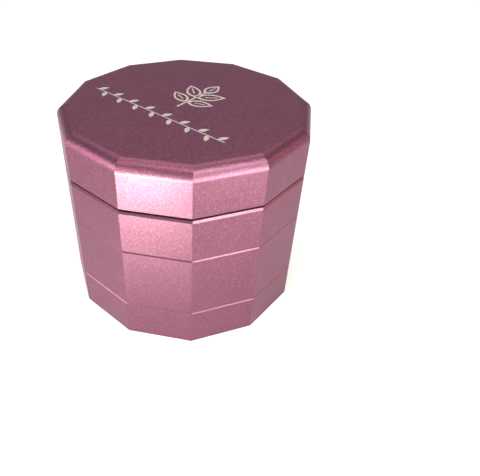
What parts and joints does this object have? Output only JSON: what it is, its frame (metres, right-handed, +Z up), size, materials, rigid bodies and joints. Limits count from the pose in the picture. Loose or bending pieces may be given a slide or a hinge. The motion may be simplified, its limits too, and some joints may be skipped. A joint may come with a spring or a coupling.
{
  "type": "herb grinder",
  "caption": "Faceted hand-held herb grinder in anodised aluminium: toothed lid and grinding chamber over a screened collection chamber and a catch tray, held by magnets.",
  "frame": {"origin": "centre of the tray's flat underside, on the axis that the lid turns about", "axes": "+Z up along the lid's turning axis, +X through a corner of the twelve-sided body and the edge magnets on the right"},
  "size_m": [0.063, 0.063, 0.0511],
  "materials": {
    "anodised_shell": "bead-blasted and anodised rose pink, satin",
    "woven_steel": "fine stainless wire, plain weave",
    "clamp_steel": "turned stainless",
    "magnet_nickel": "bright nickel plate",
    "glide_polymer": "natural low-friction polymer",
    "laser_etch": "pale laser-etched ornament, matt"
  },
  "bodies": {
    "tray_body": {"tray": "anodised_shell", "tray_magnet_left": "magnet_nickel", "tray_magnet_right": "magnet_nickel"},
    "collection_body": {"collection_chamber": "anodised_shell", "screen": "woven_steel", "screen_ring": "clamp_steel", "collection_lower_magnet_left": "magnet_nickel", "collection_lower_magnet_right": "magnet_nickel", "collection_upper_magnet_left": "magnet_nickel", "collection_upper_magnet_right": "magnet_nickel"},
    "grinding_body": {"grinding_chamber": "anodised_shell", "grinding_centre_magnet": "magnet_nickel", "grinding_lower_magnet_left": "magnet_nickel", "grinding_lower_magnet_right": "magnet_nickel"},
    "glide_body": {"glide_ring": "glide_polymer"},
    "lid_body": {"lid": "anodised_shell", "lid_centre_magnet": "magnet_nickel"}
  },
  "joints": [
    {"name": "collection_lift", "type": "slide", "parent": "tray_body", "child": "collection_body", "axis": [0, 0, 1], "range_m": [0, 0.03]},
    {"name": "grinding_lift", "type": "slide", "parent": "collection_body", "child": "grinding_body", "axis": [0, 0, 1], "range_m": [0, 0.03]},
    {"name": "lid_spin", "type": "hinge", "parent": "grinding_body", "child": "glide_body", "pos_m": [0, 0, 0.0386], "axis": [0, 0, 1], "continuous": true},
    {"name": "lid_lift", "type": "slide", "parent": "glide_body", "child": "lid_body", "axis": [0, 0, 1], "range_m": [0, 0.035]}
  ]
}
